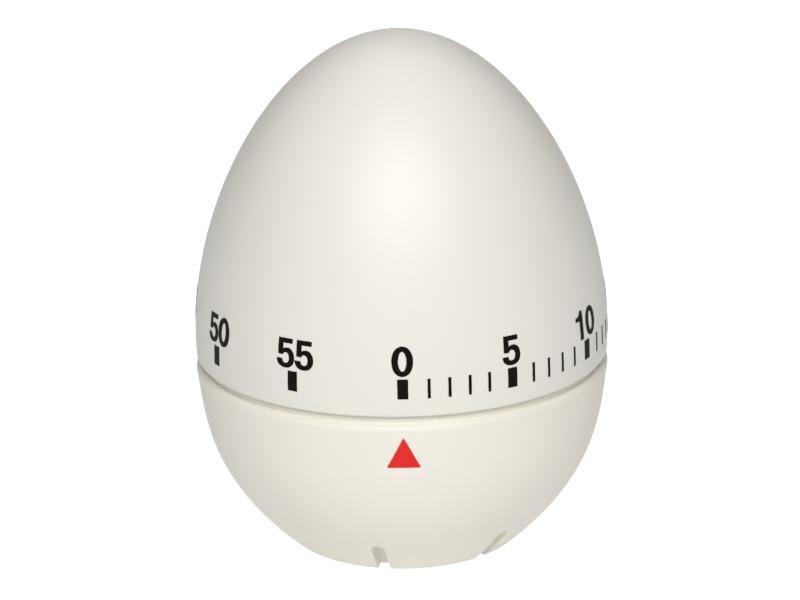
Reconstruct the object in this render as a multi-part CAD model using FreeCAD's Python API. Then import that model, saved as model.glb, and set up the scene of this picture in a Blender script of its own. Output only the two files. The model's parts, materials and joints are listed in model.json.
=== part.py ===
"""Wind-up kitchen timer in the shape of an egg. Millimetres, +Z up, origin at the middle of the
foot. The pointer is at the front, on -Y, and azimuths run from there towards +X."""
import FreeCAD
import Part

import math
import os

V = FreeCAD.Vector
UP = V(0, 0, 1)
CENTRE = V(0, 0, 0)

# Egg body
egg_radius = 30.0
egg_height = 75.0
seam_height = 28.3
seam_gap = 0.3  # between the neck and the dial
neck_height = 0.85  # of the neck above the base's shoulder
neck_step = 0.9  # how far the neck stands back from the dial's edge
crown_flare = 1.1  # how far the upper outline leans out above the seam
crown_rise = 21.4
crown_reach = 16.9
rim_overhang = 0.25  # the base's sharp shoulder would stand this far outside the dial's edge
belly_lean = 1.21
belly_drop = 7.31
belly_out = 12.61
belly_up = 11.26
foot_radius = 17.3
rim_round = 1.0
dial_wall = 1.8
base_wall = 1.8

# Foot: notches, ledge and cover
notch_azimuths = (-10.1, 38.7, 169.9, 218.7)
notch_width = 1.87
notch_height = 5.9
notch_depth = 2.05  # level, from the bowl's outside in to the back of the notch
notch_wall = 1.2  # of the pocket that closes each notch on the inside
floor_height = 3.8
ledge_depth = 1.0
ledge_width = 1.6
cover_thickness = 1.2
cover_fit = 0.15
sound_slot_count = 8
sound_slot_width = 2.2
sound_slot_length = 6.0
sound_slot_radius = 10.5

# Printing
ink = 0.05
print_reach = 3.0  # how far the drawings reach in and out of the surface before they are trimmed
scale_step = 30.0  # degrees for each numeral
minutes_per_numeral = 5
numeral_height = 4.15
numeral_advance = 2.93
numeral_shift = 0.37  # numerals above 10 stand this far past the middle of their marks
mark_width = 1.43
mark_height = 2.72
mark_base = 2.5  # above the dial's lower edge
numeral_gap = 0.4
minute_width = 0.33
fine_minutes = 15
pointer_width = 4.6
pointer_height = 4.55
pointer_drop = 3.1  # apex below the seam

# Movement frame
plate_thickness = 0.8
plate_radius = 21.0
plate_below_rim = 2.35  # from the base's shoulder down to the top plate's underside
pillar_angles = (60.0, 155.0, 345.0)
pillar_ring = 19.0
pillar_radius = 1.5
rivet_radius = 0.8
rivet_head_radius = 1.5
rivet_head = 0.5
boss_angles = (90.0, 210.0, 330.0)
boss_clearance = 0.2  # between the screws' heads and the movement cover's lip
boss_radius = 2.5
boss_web = 1.6
boss_web_reach = 6.0
screw_radius = 1.0
screw_pilot = 0.85
screw_length = 10.0
screw_head_radius = 2.0
screw_head = 1.2
screw_slot = 0.5
screw_slot_turn = 20.0
ear_radius = 2.4
ear_root = 4.0  # how far inside the plate's edge the ears begin
window_angles = (20.0, 100.0, 120.0)
window_ring = 17.0
window_radius = 2.6
cover_gap = 2.4  # between the top plate and the plastic movement cover
lip_wall = 1.2
lip_clearance = 0.4
lip_rise = 3.3  # how far the cover's lip stands up inside the dial, above the seam

# Main arbor and its drive
arbor_radius = 1.75
run_fit = 0.05
arbor_flat = 0.5
arbor_tip = 0.4  # below the bottom plate's underside
flat_lead = 2.0  # the flat starts this far below the dial's socket
hub_margin = 0.2
shoulder_height = 0.9
socket_rise = 11.7  # the dial's socket starts this far above the seam
socket_depth = 12.0
socket_wall = 1.4
bush_wall = 1.5
socket_rib = 1.2
spring_hub_radius = 2.4
spring_width = 4.0
spring_strip = 0.3
spring_pitch = 1.2
spring_turns = 6
spring_lift = 0.5
anchor_post_radius = 0.8

# Going train
wheel_thickness = 0.6
main_wheel_thickness = 0.8
main_teeth = 64
second_teeth = 56
third_teeth = 48
pinion_leaves = 8
main_module = 0.35
train_module = 0.3
spring_to_wheels = 0.3
wheel_gap = 1.1
escape_wheel_gap = 0.7
main_wheel_gap = 0.8
end_shake = 0.05
arbor_play = 0.55
pinion_length = 1.6
main_hub = 4.6
main_rim_inside = 9.0
wheel_hub = 2.4
wheel_rim = 1.6
escape_hub = 1.9
escape_rim = 0.9
shaft_radius = 0.6
pivot_radius = 0.5
second_angle = 200.0
third_ring = 13.6
escape_ring = 14.0
escape_teeth = 20
escape_tip_radius = 6.0
escape_root_radius = 4.8
escape_tip_share = 0.03
escape_root_share = 0.28
pallet_reach = 7.5
pallet_ring = 14.5
pallet_pin_radius = 0.25
pallet_drop = 0.1
pallet_half_span = 22.5
pallet_lift = 0.15  # of the lever above the escape wheel
pallet_thickness = 0.4
pallet_arm_width = 0.9
pallet_hub = 1.3
pallet_tail = 4.0
pallet_tail_width = 1.2
collar_radius = 3.2
collar_height = 0.7
clutch_strip = 0.3
clutch_fingers = 3
clutch_finger_width = 1.6
clutch_finger_reach = 6.0
clutch_first_finger = 30.0
clutch_hub = 0.9  # of the spring round the arbor

# Striking work
bell_radius = 19.5
bell_below_plate = 5.8
bell_height = 4.4
bell_wall = 0.6
bell_round = 3.0
bell_post_radius = 2.0
bell_post_cap = 0.6
bell_screw_head = 1.0
bell_screw_head_radius = 2.4
bell_screw_slot = 0.6
bell_screw_length = 4.0
star_teeth = 8
star_radius = 3.2
star_root = 1.7
star_tip_share = 0.05
star_root_share = 0.34
star_shaft_tip = 0.3  # of the arbor below the star
star_below_plate = 3.2
star_thickness = 1.0
hammer_pivot = (-8.61, -4.01)
hammer_head_at = (-13.86, 8.0)
hammer_head_radius = 1.55
hammer_post_radius = 0.8
hammer_hub_radius = 1.6
hammer_arm_width = 1.5
hammer_tail = 4.8
hammer_below_plate = 3.0
hammer_thickness = 1.0
hammer_head_length = 2.0
hammer_head_drop = 0.4  # of the head below the top of the bell's rounding
hammer_hub_rise = 0.3
clip_radius = 1.5
clip_thickness = 0.4
post_tip = 1.0
spring_wire = 0.2
coil_turns = 3
coil_play = 0.3  # between the coil and the post
coil_gap = 0.1  # above and below the coil
release_pivot = (-10.11, 8.48)
release_nose_at = (-1.16, 6.60)
release_arm_width = 1.0
release_thickness = 0.6
release_hub = 1.5
release_tip = 0.5  # from the lever's nose to the middle of its round end
release_shaft_tip = 0.2
block_hub = 1.1
block_turn = 40.0
block_radius = 1.7
cam_radius = 6.5
cam_notch_depth = 1.6
cam_notch_before = 25.0
cam_notch_after = 24.0
cam_lift = 0.4
nose_clearance = 0.2
stop_ring = 9.0
stop_angle = 300.0
stop_pin_radius = 0.55
stop_arm_width = 1.1
stop_free_angle = 7.5  # half of the angle that the dial cannot turn through
stop_arm_thickness = 0.6
stop_arm_reach = 0.3  # past the pin's middle
stop_arm_lift = 0.4  # above the cam

# The bosses stand as far out as the screws' heads can inside the movement cover's lip
lip_radius = egg_radius - dial_wall - lip_clearance
boss_ring = lip_radius - lip_wall - screw_head_radius - boss_clearance
# Levels, from the base's neck down to the bell
neck_top = seam_height - seam_gap
base_rim_height = neck_top - neck_height
base_rim_radius = egg_radius + rim_overhang
top_plate_height = base_rim_height - plate_below_rim
plate_top = top_plate_height + plate_thickness
cover_underside = plate_top + cover_gap
socket_foot = seam_height + socket_rise
arbor_top = socket_foot + socket_depth
clutch_height = top_plate_height - arbor_play - collar_height - clutch_strip
main_wheel_height = clutch_height - end_shake - main_wheel_thickness
escape_wheel_height = main_wheel_height - main_wheel_gap - wheel_thickness
third_wheel_height = escape_wheel_height - escape_wheel_gap - wheel_thickness
second_wheel_height = third_wheel_height - wheel_gap - wheel_thickness
spring_height = second_wheel_height - spring_to_wheels - spring_width
inner_floor = spring_height - spring_lift
bottom_plate_height = inner_floor - plate_thickness
hammer_height = bottom_plate_height - hammer_below_plate
star_height = bottom_plate_height - star_below_plate
bell_floor = bottom_plate_height - bell_below_plate
# Distances between arbors
third_from_second = train_module * (second_teeth + pinion_leaves) / 2
escape_from_third = train_module * (third_teeth + pinion_leaves) / 2
second_ring = main_module * (main_teeth + pinion_leaves) / 2


def save(name, *solids):
    """Write one node, joining nothing: several solids stay separate."""
    shape = solids[0] if len(solids) == 1 else Part.makeCompound(solids)
    shape.exportStep("parts/%s.step" % name)
    print(name, len(shape.Solids), round(shape.Volume, 2), shape.isValid())


def polar(radius, angle, height=0.0):
    turn = math.radians(angle)
    return V(radius * math.cos(turn), radius * math.sin(turn), height)


def front(radius, azimuth, height=0.0):
    """A point at an azimuth measured from the pointer, towards +X."""
    return polar(radius, azimuth - 90.0, height)


def disc(radius, low, high, at=CENTRE):
    return Part.makeCylinder(radius, high - low, V(at.x, at.y, low))


def ring(outer, inner, low, high, at=CENTRE):
    return disc(outer, low, high, at).cut(disc(inner, low, high, at))


def prism(points, low, high):
    corners = [V(p[0], p[1], low) for p in points]
    face = Part.Face(Part.makePolygon(corners + corners[:1]))
    return face.extrude(V(0, 0, high - low))


def bar(start, end, width, low, high):
    """A flat strip with round ends."""
    along = (end - start).normalize()
    side = V(-along.y, along.x, 0) * (width / 2)
    body = prism([start + side, start - side, end - side, end + side], low, high)
    return body.fuse([disc(width / 2, low, high, start), disc(width / 2, low, high, end)]).removeSplitter()


def beside(distance, start, angle):
    return V(start.x, start.y, 0) + polar(distance, angle)


def third_side(near, far, between):
    """The angle at the main arbor between two arbors, from the three distances."""
    return math.degrees(math.acos((near ** 2 + far ** 2 - between ** 2) / (2 * near * far)))


third_angle = second_angle + third_side(second_ring, third_ring, third_from_second)
escape_angle = third_angle + third_side(third_ring, escape_ring, escape_from_third)
pallet_angle = escape_angle + third_side(escape_ring, pallet_ring, pallet_reach)
second_at = polar(second_ring, second_angle)
third_at = polar(third_ring, third_angle)
escape_at = polar(escape_ring, escape_angle)
pallet_at = polar(pallet_ring, pallet_angle)
hammer_at = V(hammer_pivot[0], hammer_pivot[1], 0)
release_at = V(release_pivot[0], release_pivot[1], 0)
nose_at = V(release_nose_at[0], release_nose_at[1], 0)


def heading(start, end):
    return math.degrees(math.atan2(end.y - start.y, end.x - start.x))


# Outlines of the egg: one curve above the seam and one below it
def dial_poles():
    return [
        V(egg_radius, 0, seam_height),
        V(egg_radius + crown_flare, 0, seam_height + crown_rise),
        V(crown_reach, 0, egg_height),
        V(0, 0, egg_height),
    ]


def base_poles():
    return [
        V(foot_radius, 0, 0),
        V(foot_radius + belly_out, 0, belly_up),
        V(base_rim_radius - belly_lean, 0, base_rim_height - belly_drop),
        V(base_rim_radius, 0, base_rim_height),
    ]


def outline(poles, inset=0.0):
    """The curve on these poles, or one parallel to it, further in by inset."""
    curve = Part.BezierCurve()
    curve.setPoles(poles)
    if not inset:
        return curve.toShape()
    points = []
    steps = 16
    for step in range(steps + 1):
        place = curve.value(step / steps)
        along = curve.tangent(step / steps)[0]
        points.append(place + V(-along.z, 0, along.x) * inset)
    parallel = Part.BSplineCurve()
    parallel.interpolate(points)
    return parallel.toShape()


def spun(edge, low, high):
    """The solid inside an outline, closed straight to the axis at its ends."""
    first = edge.Vertexes[0].Point
    last = edge.Vertexes[-1].Point
    edges = [edge]
    if last.z < high - 1e-6:
        edges.append(Part.makeLine(last, V(last.x, 0, high)))
        last = V(last.x, 0, high)
    if last.x > 1e-6:
        edges.append(Part.makeLine(last, V(0, 0, last.z)))
        last = V(0, 0, last.z)
    start = V(first.x, 0, min(first.z, low))
    edges.append(Part.makeLine(last, V(0, 0, start.z)))
    edges.append(Part.makeLine(V(0, 0, start.z), start))
    if first.z > low + 1e-6:
        edges.append(Part.makeLine(start, first))
    face = Part.Face(Part.Wire(Part.sortEdges(edges)[0]))
    return face.revolve(CENTRE, UP, 360)


def dial_body(inset):
    poles = dial_poles()
    if inset == 0:
        return spun(outline(poles), seam_height, egg_height)
    edge = outline(poles, inset)
    end = edge.Vertexes[-1].Point
    return spun(edge, seam_height - 1.0, end.z)


def base_body(inset):
    edge = outline(base_poles(), inset)
    top = base_rim_height if inset == 0 else base_rim_height + 1.0
    return spun(edge, 0.0, top)


# Numerals, in hundredths of their height. Two numbers end a straight line, six a curve.
numeral_middle = 35.0
numeral_outlines = {
    "0": [
        [(0, 50), (0, 80, 14.7, 100, 34.7, 100), (54.7, 100, 69.5, 80, 69.5, 50),
         (69.5, 20, 54.7, 0, 34.7, 0), (14.7, 0, 0, 20, 0, 50)],
        [(20.5, 50), (20.5, 70, 27.7, 83.5, 34.7, 83.5), (41.7, 83.5, 48.9, 70, 48.9, 50),
         (48.9, 30, 41.7, 16.5, 34.7, 16.5), (27.7, 16.5, 20.5, 30, 20.5, 50)],
    ],
    "1": [
        [(49, 0), (49, 100), (34, 100), (31, 88, 21, 80, 5, 80), (5, 68), (29, 68), (29, 0), (49, 0)],
    ],
    "2": [
        [(0, 0), (66.5, 0), (66.5, 15.5), (25, 15.5), (27, 21, 33, 27, 42, 34), (58, 45, 67, 54, 67, 70),
         (67, 88, 54, 100, 34.5, 100), (14, 100, 2, 87, 2, 65), (20.5, 65), (20.5, 78, 25, 84.5, 34, 84.5),
         (43, 84.5, 48, 78.5, 48, 69.5), (48, 60, 42, 54, 31, 46.5), (11, 33, 0, 21, 0, 0)],
    ],
    "3": [
        [(0, 29), (1, 11, 14, 0, 33.5, 0), (54, 0, 67.5, 11, 67.5, 29), (67.5, 41, 61, 49.5, 51, 52),
         (59, 55.5, 64, 63, 64, 73), (64, 89, 52, 100, 33.5, 100), (14.5, 100, 3, 89, 2.5, 71), (20.5, 71),
         (21, 80, 25, 85, 33, 85), (41, 85, 45.5, 80, 45.5, 72.5), (45.5, 63.5, 40, 58.5, 26.5, 58.5),
         (26.5, 45.5), (41.5, 45.5, 48.5, 41, 48.5, 30), (48.5, 20.5, 43, 15, 34, 15),
         (25, 15, 20, 20.5, 19.5, 29), (0, 29)],
    ],
    "4": [
        [(41, 0), (58, 0), (58, 23), (69, 23), (69, 37), (58, 37), (58, 98), (39, 98), (0, 39), (0, 23),
         (41, 23), (41, 0)],
        [(41, 37), (14, 37), (41, 78), (41, 37)],
    ],
    "5": [
        [(6.5, 98.5), (60, 98.5), (60, 83.5), (24, 83.5), (24, 62), (29, 66, 35, 67.5, 42, 67.5),
         (57, 67.5, 67.5, 52, 67.5, 32), (67.5, 12, 53, 0, 33, 0), (14, 0, 0, 10, 0, 29), (21, 29),
         (22, 20, 26, 15.3, 33, 15.3), (43, 15.3, 48.4, 22, 48.4, 32), (48.4, 44, 44, 51.6, 34.6, 51.6),
         (29, 51.6, 25, 48, 23, 43), (5.5, 44), (6.5, 98.5)],
    ],
}


def loop_face(loop):
    """A flat face inside one closed outline of a numeral."""
    size = numeral_height / 100
    last = V(loop[0][0], loop[0][1], 0) * size
    edges = []
    for step in loop[1:]:
        points = [V(x, y, 0) * size for x, y in zip(step[::2], step[1::2])]
        if len(points) == 1:
            edges.append(Part.makeLine(last, points[0]))
        else:
            curve = Part.BezierCurve()
            curve.setPoles([last] + points)
            edges.append(curve.toShape())
        last = points[-1]
    return Part.Face(Part.Wire(edges))


def slab(x0, y0, x1, y1):
    return prism([(x0, y0), (x1, y0), (x1, y1), (x0, y1)], 0, 1)


def numeral(digit):
    faces = [loop_face(loop) for loop in numeral_outlines[digit]]
    face = faces[0].cut(faces[1:]) if len(faces) > 1 else faces[0]
    shape = face.extrude(UP)
    shape.translate(V(-numeral_middle * numeral_height / 100, 0, 0))
    return shape


def stamp(shape, azimuth, height):
    """Stand a flat drawing up and carry it out to the egg's surface."""
    shape.rotate(CENTRE, V(1, 0, 0), 90)
    shape.rotate(CENTRE, UP, azimuth)
    shape.translate(front(egg_radius - print_reach, azimuth, height))
    return shape


def drawing(shape):
    """Deepen a flat drawing so that it reaches through the printed surface."""
    deep = FreeCAD.Matrix()
    deep.scale(1, 1, 2 * print_reach)
    return shape.transformGeometry(deep)


def label(text, azimuth, height):
    shift = numeral_shift if int(text) > 10 else 0.0
    start = shift - (len(text) - 1) * numeral_advance / 2
    pieces = []
    for place, digit in enumerate(text):
        glyph = drawing(numeral(digit))
        glyph.translate(V(start + place * numeral_advance, 0, 0))
        pieces.append(stamp(glyph, azimuth, height))
    return pieces


def mark(width, azimuth):
    low = seam_height + mark_base
    return stamp(drawing(slab(-width / 2, 0, width / 2, mark_height)), azimuth, low)


def printed(shapes, body, coat):
    """Keep only a coat of ink on the body's surface."""
    solids = []
    for shape in shapes:
        solids += shape.common(coat).cut(body).Solids
    return solids


def make_dial_print():
    shapes = []
    count = round(360 / scale_step)
    numeral_base = seam_height + mark_base + mark_height + numeral_gap
    for place in range(count):
        azimuth = place * scale_step
        shapes += label(str(place * minutes_per_numeral), azimuth, numeral_base)
        shapes.append(mark(mark_width, azimuth))
    edge = math.degrees(mark_width / 2 / egg_radius)
    step = (scale_step - 2 * edge) / minutes_per_numeral
    for block in range(fine_minutes // minutes_per_numeral):
        for line in range(1, minutes_per_numeral):
            shapes.append(mark(minute_width, block * scale_step + edge + line * step))
    save("dial_scale_print", *printed(shapes, dial_body(0), dial_body(-ink)))


def make_pointer_print():
    half = pointer_width / 2
    arrow = prism([(-half, 0), (half, 0), (0, pointer_height)], 0, 1)
    height = seam_height - pointer_drop - pointer_height
    shapes = [stamp(drawing(arrow), 0, height)]
    save("pointer_print", *printed(shapes, base_body(0), base_body(-ink)))


# Dial and what turns with it
def arbor_bar(radius, low, high):
    """The arbor's D section, with its flat towards the back."""
    bar_shape = disc(radius, low, high)
    flat = Part.makeBox(4 * radius, radius, high - low, V(-2 * radius, radius - arbor_flat, low))
    return bar_shape.cut(flat)


def make_top_shell():
    shell = dial_body(0).cut(dial_body(dial_wall))
    bush_radius = arbor_radius + bush_wall
    tube_radius = bush_radius + socket_wall
    within = dial_body(dial_wall / 2)
    tube = disc(tube_radius, socket_foot, egg_height)
    ribs = [tube]
    for azimuth in (45, 135):
        rib = Part.makeBox(2 * egg_radius, socket_rib, egg_height, V(-egg_radius, -socket_rib / 2, socket_foot))
        rib.rotate(CENTRE, UP, azimuth)
        slope = Part.makeCone(tube_radius, egg_radius, crown_rise, V(0, 0, socket_foot), UP)
        above = disc(egg_radius, socket_foot + crown_rise, egg_height)
        ribs.append(rib.common(slope.fuse(above)))
    socket = tube.fuse(ribs[1:]).common(within)
    bore = disc(bush_radius, socket_foot - 1, arbor_top + 0.5)
    save("top_shell", shell.fuse(socket).cut(bore).removeSplitter())


def make_drive_bush():
    outer = disc(arbor_radius + bush_wall, socket_foot, arbor_top)
    save("drive_bush", outer.cut(arbor_bar(arbor_radius + run_fit / 5, socket_foot - 1, arbor_top + 1)))


def make_main_arbor():
    low = bottom_plate_height - arbor_tip
    flat_low = socket_foot - flat_lead
    lower = disc(arbor_radius, low, flat_low)
    upper = arbor_bar(arbor_radius, flat_low, arbor_top)
    hub = disc(spring_hub_radius, spring_height - hub_margin, spring_height + spring_width + hub_margin)
    shoulder = disc(spring_hub_radius, main_wheel_height - shoulder_height, main_wheel_height - end_shake)
    save("main_arbor", lower.fuse([upper, hub, shoulder]).removeSplitter())


def make_clutch():
    low = clutch_height
    fingers = [disc(arbor_radius + clutch_hub, low, low + clutch_strip)]
    for place in range(clutch_fingers):
        angle = clutch_first_finger + 360 / clutch_fingers * place
        root = polar(arbor_radius - clutch_strip, angle)
        end = polar(clutch_finger_reach, angle)
        fingers.append(bar(root, end, clutch_finger_width, low, low + clutch_strip))
    spring = fingers[0].fuse(fingers[1:]).cut(disc(arbor_radius + run_fit / 5, low - 1, low + 1))
    save("clutch_spring", spring.removeSplitter())
    start = low + clutch_strip
    save("clutch_collar", ring(collar_radius, arbor_radius, start, start + collar_height))


def make_strike_cam():
    low = plate_top + cam_lift
    high = low + release_thickness
    body = ring(cam_radius, arbor_radius, low, high)
    nose = heading(CENTRE, nose_at)
    steps = 8
    corners = []
    for step in range(steps + 1):
        turn = nose - cam_notch_before + (cam_notch_before + cam_notch_after) * step / steps
        corners.append(polar(cam_radius + 1.0, turn))
    for step in range(steps, -1, -1):
        turn = nose - cam_notch_before + (cam_notch_before + cam_notch_after) * step / steps
        corners.append(polar(cam_radius - cam_notch_depth, turn))
    save("strike_cam", body.cut(prism(corners, low - 1, high + 1)))


def make_stop():
    low = plate_top + cam_lift + release_thickness + stop_arm_lift
    high = low + stop_arm_thickness
    end = polar(stop_ring + stop_arm_reach, stop_angle - stop_free_angle)
    finger = bar(CENTRE, end, stop_arm_width, low, high)
    hub = disc(collar_radius, low, high)
    arm = hub.fuse(finger).cut(disc(arbor_radius, low - 1, high + 1))
    save("stop_arm", arm.removeSplitter())
    save("stop_pin", disc(stop_pin_radius, plate_top, high, polar(stop_ring, stop_angle)))


# Case
def boss_columns(low, high, radius):
    columns = []
    for angle in boss_angles:
        column = disc(radius, low, high, polar(boss_ring, angle))
        half = boss_web / 2
        web = prism([(0, -half), (boss_web_reach, -half), (boss_web_reach, half), (0, half)], low, high)
        web.rotate(CENTRE, UP, angle)
        web.translate(polar(boss_ring, angle))
        columns.append(column.fuse(web))
    return columns


def notch_block(azimuth, grow=0.0):
    """An arched block let into the bowl's side, with its back as steep as the bowl is."""
    half = notch_width / 2 + grow
    straight = notch_height - notch_width / 2
    box = Part.makeBox(2 * half, base_rim_radius, straight + 1, V(-half, -base_rim_radius, -1))
    arch = Part.makeCylinder(half, base_rim_radius, V(0, -base_rim_radius, straight), V(0, 1, 0))
    core = outline(base_poles())
    core.translate(V(-notch_depth - grow, 0, 0))
    block = box.fuse(arch).cut(spun(core, -2.0, base_rim_height))
    block.rotate(CENTRE, UP, azimuth)
    return block


def make_base_shell():
    outer = base_body(0)
    corner = [e for e in outer.Edges if e.BoundBox.ZMin > base_rim_height - 0.01 and e.BoundBox.XMax > egg_radius]
    outer = outer.makeFillet(rim_round, corner)
    inside = base_body(base_wall)
    floor = floor_height - ledge_depth
    throat = disc(2 * egg_radius, floor, floor_height).cut(disc(cover_radius() - ledge_width, floor, floor_height))
    cavity = inside.cut(throat)
    shell = outer.cut(cavity)
    within = base_body(base_wall / 2)
    added = boss_columns(floor_height, top_plate_height, boss_radius)
    added += [notch_block(a, notch_wall) for a in notch_azimuths]
    shell = shell.fuse([piece.common(within) for piece in added])
    inner = base_rim_radius - base_wall
    shell = shell.fuse(ring(egg_radius - neck_step, inner, base_rim_height - rim_round, neck_top))
    holes = [disc(screw_pilot, top_plate_height - screw_length, top_plate_height + 1, polar(boss_ring, a))
             for a in boss_angles]
    shell = shell.cut(holes + [notch_block(a) for a in notch_azimuths])
    save("base_shell", shell.removeSplitter())


def cover_radius():
    """The bowl's inner radius where the cover lies, less its fit."""
    curve = outline(base_poles(), base_wall).Curve
    low, high = curve.FirstParameter, curve.LastParameter
    for _ in range(40):
        middle = (low + high) / 2
        if curve.value(middle).z < floor_height:
            low = middle
        else:
            high = middle
    return curve.value(low).x - cover_fit


def make_base_cover():
    cover = disc(cover_radius(), floor_height, floor_height + cover_thickness)
    slots = []
    for place in range(sound_slot_count):
        angle = 360 / sound_slot_count * (place + 0.5)
        start = polar(sound_slot_radius - sound_slot_length / 2, angle)
        end = polar(sound_slot_radius + sound_slot_length / 2, angle)
        slots.append(bar(start, end, sound_slot_width, floor_height - 1, floor_height + cover_thickness + 1))
    clearances = [notch_block(a, notch_wall + cover_fit) for a in notch_azimuths]
    save("base_cover", cover.cut(slots + clearances))


def make_movement_cover():
    low = cover_underside
    high = low + cover_thickness
    top = seam_height + lip_rise
    cup = disc(lip_radius, low, top).cut(disc(lip_radius - lip_wall, high, top + 1))
    tubes = [disc(ear_radius, plate_top, low, polar(boss_ring, a)) for a in boss_angles]
    cup = cup.fuse(tubes)
    holes = [disc(screw_radius + 0.1, plate_top - 1, high + 1, polar(boss_ring, a)) for a in boss_angles]
    holes.append(disc(collar_radius + 1, low - 1, high + 1))
    save("movement_cover", cup.cut(holes).removeSplitter())


def make_cover_screws():
    top = cover_underside + cover_thickness
    low = top_plate_height - screw_length + screw_slot
    screws = []
    for angle in boss_angles:
        at = polar(boss_ring, angle)
        shank = disc(screw_pilot, low, top, at)
        head = disc(screw_head_radius, top, top + screw_head, at)
        corner = V(-2 * screw_head_radius, -screw_slot / 2, top + screw_head - screw_slot)
        slot = Part.makeBox(4 * screw_head_radius, screw_slot, screw_head, corner)
        slot.rotate(CENTRE, UP, angle + screw_slot_turn)
        slot.translate(at)
        screws.append(shank.fuse(head).cut(slot).removeSplitter())
    save("cover_screws", *screws)


# Movement frame
def pivots():
    return (second_at, third_at, escape_at, pallet_at, release_at)


def make_plates():
    for name, low in (("bottom_plate", bottom_plate_height), ("top_plate", top_plate_height)):
        high = low + plate_thickness
        plate = disc(plate_radius, low, high)
        if name == "top_plate":
            for angle in boss_angles:
                root = polar(plate_radius - ear_root, angle)
                plate = plate.fuse(bar(root, polar(boss_ring, angle), 2 * ear_radius, low, high))
            plate = plate.cut([disc(screw_radius, low - 1, high + 1, polar(boss_ring, a)) for a in boss_angles])
        holes = [disc(arbor_radius + run_fit, low - 1, high + 1)]
        holes += [disc(pivot_radius + run_fit, low - 1, high + 1, at) for at in pivots()]
        holes += [disc(rivet_radius, low - 1, high + 1, polar(pillar_ring, a)) for a in pillar_angles]
        windows = [disc(window_radius, low - 1, high + 1, polar(window_ring, a)) for a in window_angles]
        save(name, plate.cut(holes + windows).removeSplitter())


def make_pillars():
    inner_low = inner_floor
    pillars = []
    rivets = []
    for angle in pillar_angles:
        at = polar(pillar_ring, angle)
        body = disc(pillar_radius, inner_low, top_plate_height, at)
        tenon_low = disc(rivet_radius, bottom_plate_height, inner_low, at)
        tenon_high = disc(rivet_radius, top_plate_height, plate_top, at)
        pillars.append(body.fuse([tenon_low, tenon_high]).removeSplitter())
        rivets.append(disc(rivet_head_radius, bottom_plate_height - rivet_head, bottom_plate_height, at))
        rivets.append(disc(rivet_head_radius, plate_top, plate_top + rivet_head, at))
    save("plate_pillars", *pillars)
    save("pillar_rivet_heads", *rivets)


def make_mainspring():
    """A strip wound in half circles about two centres, a quarter of the pitch to each side."""
    low = spring_height
    radius = spring_hub_radius + 0.25 + spring_strip / 2 + spring_pitch / 4
    coils = []
    for turn in range(2 * spring_turns):
        side = 1 if turn % 2 == 0 else -1
        at = V(side * -spring_pitch / 4, 0, 0)
        coil = ring(radius + spring_strip / 2, radius - spring_strip / 2, low, low + spring_width, at)
        half = Part.makeBox(60, 30, spring_width, V(-30, 0 if side > 0 else -30, low))
        coils.append(coil.common(half))
        radius += spring_pitch / 2
    strip = coils[0].fuse(coils[1:]).removeSplitter()
    save("mainspring", strip)
    end = radius - spring_pitch / 2 + spring_pitch / 4
    at = V(end + spring_strip / 2 + anchor_post_radius + 0.02, 0, 0)
    save("spring_post", disc(anchor_post_radius, inner_floor, low + spring_width + 0.3, at))


# Wheels
def teeth_outline(teeth, tip, root, tip_share, root_share, at, turn):
    """A toothed outline. The shares are half of a tooth's width, in pitches, at tip and root."""
    pitch = 360 / teeth
    points = []
    for tooth in range(teeth):
        middle = turn + tooth * pitch
        for radius, offset in ((root, -root_share), (tip, -tip_share), (tip, tip_share), (root, root_share)):
            points.append(V(at.x, at.y, 0) + polar(radius, middle + offset * pitch))
    return points


def toothed(teeth, module, low, high, at, turn):
    rolling = teeth * module / 2
    leaf = teeth == pinion_leaves
    tip = rolling + (0.5 if leaf else 0.45) * module
    root = rolling - (0.85 if leaf else 0.9) * module
    tip_share = 0.10 if leaf else 0.11
    root_share = 0.20 if leaf else 0.24
    return prism(teeth_outline(teeth, tip, root, tip_share, root_share, at, turn), low, high)


def crossed_out(wheel, at, inner, outer, low, high, spokes=4):
    """Windows between the spokes of a wheel."""
    windows = []
    for place in range(spokes):
        start = 360 / spokes * (place + 0.14)
        end = 360 / spokes * (place + 0.86)
        arcs = [beside(inner, at, start + (end - start) * s / 6) for s in range(7)]
        arcs += [beside(outer, at, end - (end - start) * s / 6) for s in range(7)]
        windows.append(prism(arcs, low - 1, high + 1))
    return wheel.cut(windows)


def shaft(at, low=None, high=None):
    """An arbor between the plates, with a thin pivot through each."""
    inner_low = inner_floor + 0.1
    inner_high = top_plate_height - 0.1
    thin = disc(pivot_radius, bottom_plate_height if low is None else low, plate_top if high is None else high, at)
    return disc(shaft_radius, inner_low, inner_high, at).fuse(thin)


def meshing_turn(teeth, line, driver_teeth, driver_turn, driver_line):
    """The turn that puts a gap where the driving wheel has a tooth."""
    driver_pitch = 360 / driver_teeth
    pitch = 360 / teeth
    past = ((driver_line - driver_turn) / driver_pitch) % 1.0
    return line + (past + 0.5) * pitch


def make_main_wheel():
    low = main_wheel_height
    high = low + main_wheel_thickness
    wheel = toothed(main_teeth, main_module, low, high, CENTRE, second_angle)
    wheel = crossed_out(wheel, CENTRE, main_hub, main_rim_inside, low, high)
    save("main_wheel", wheel.cut(disc(arbor_radius + run_fit, low - 1, high + 1)))


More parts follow.
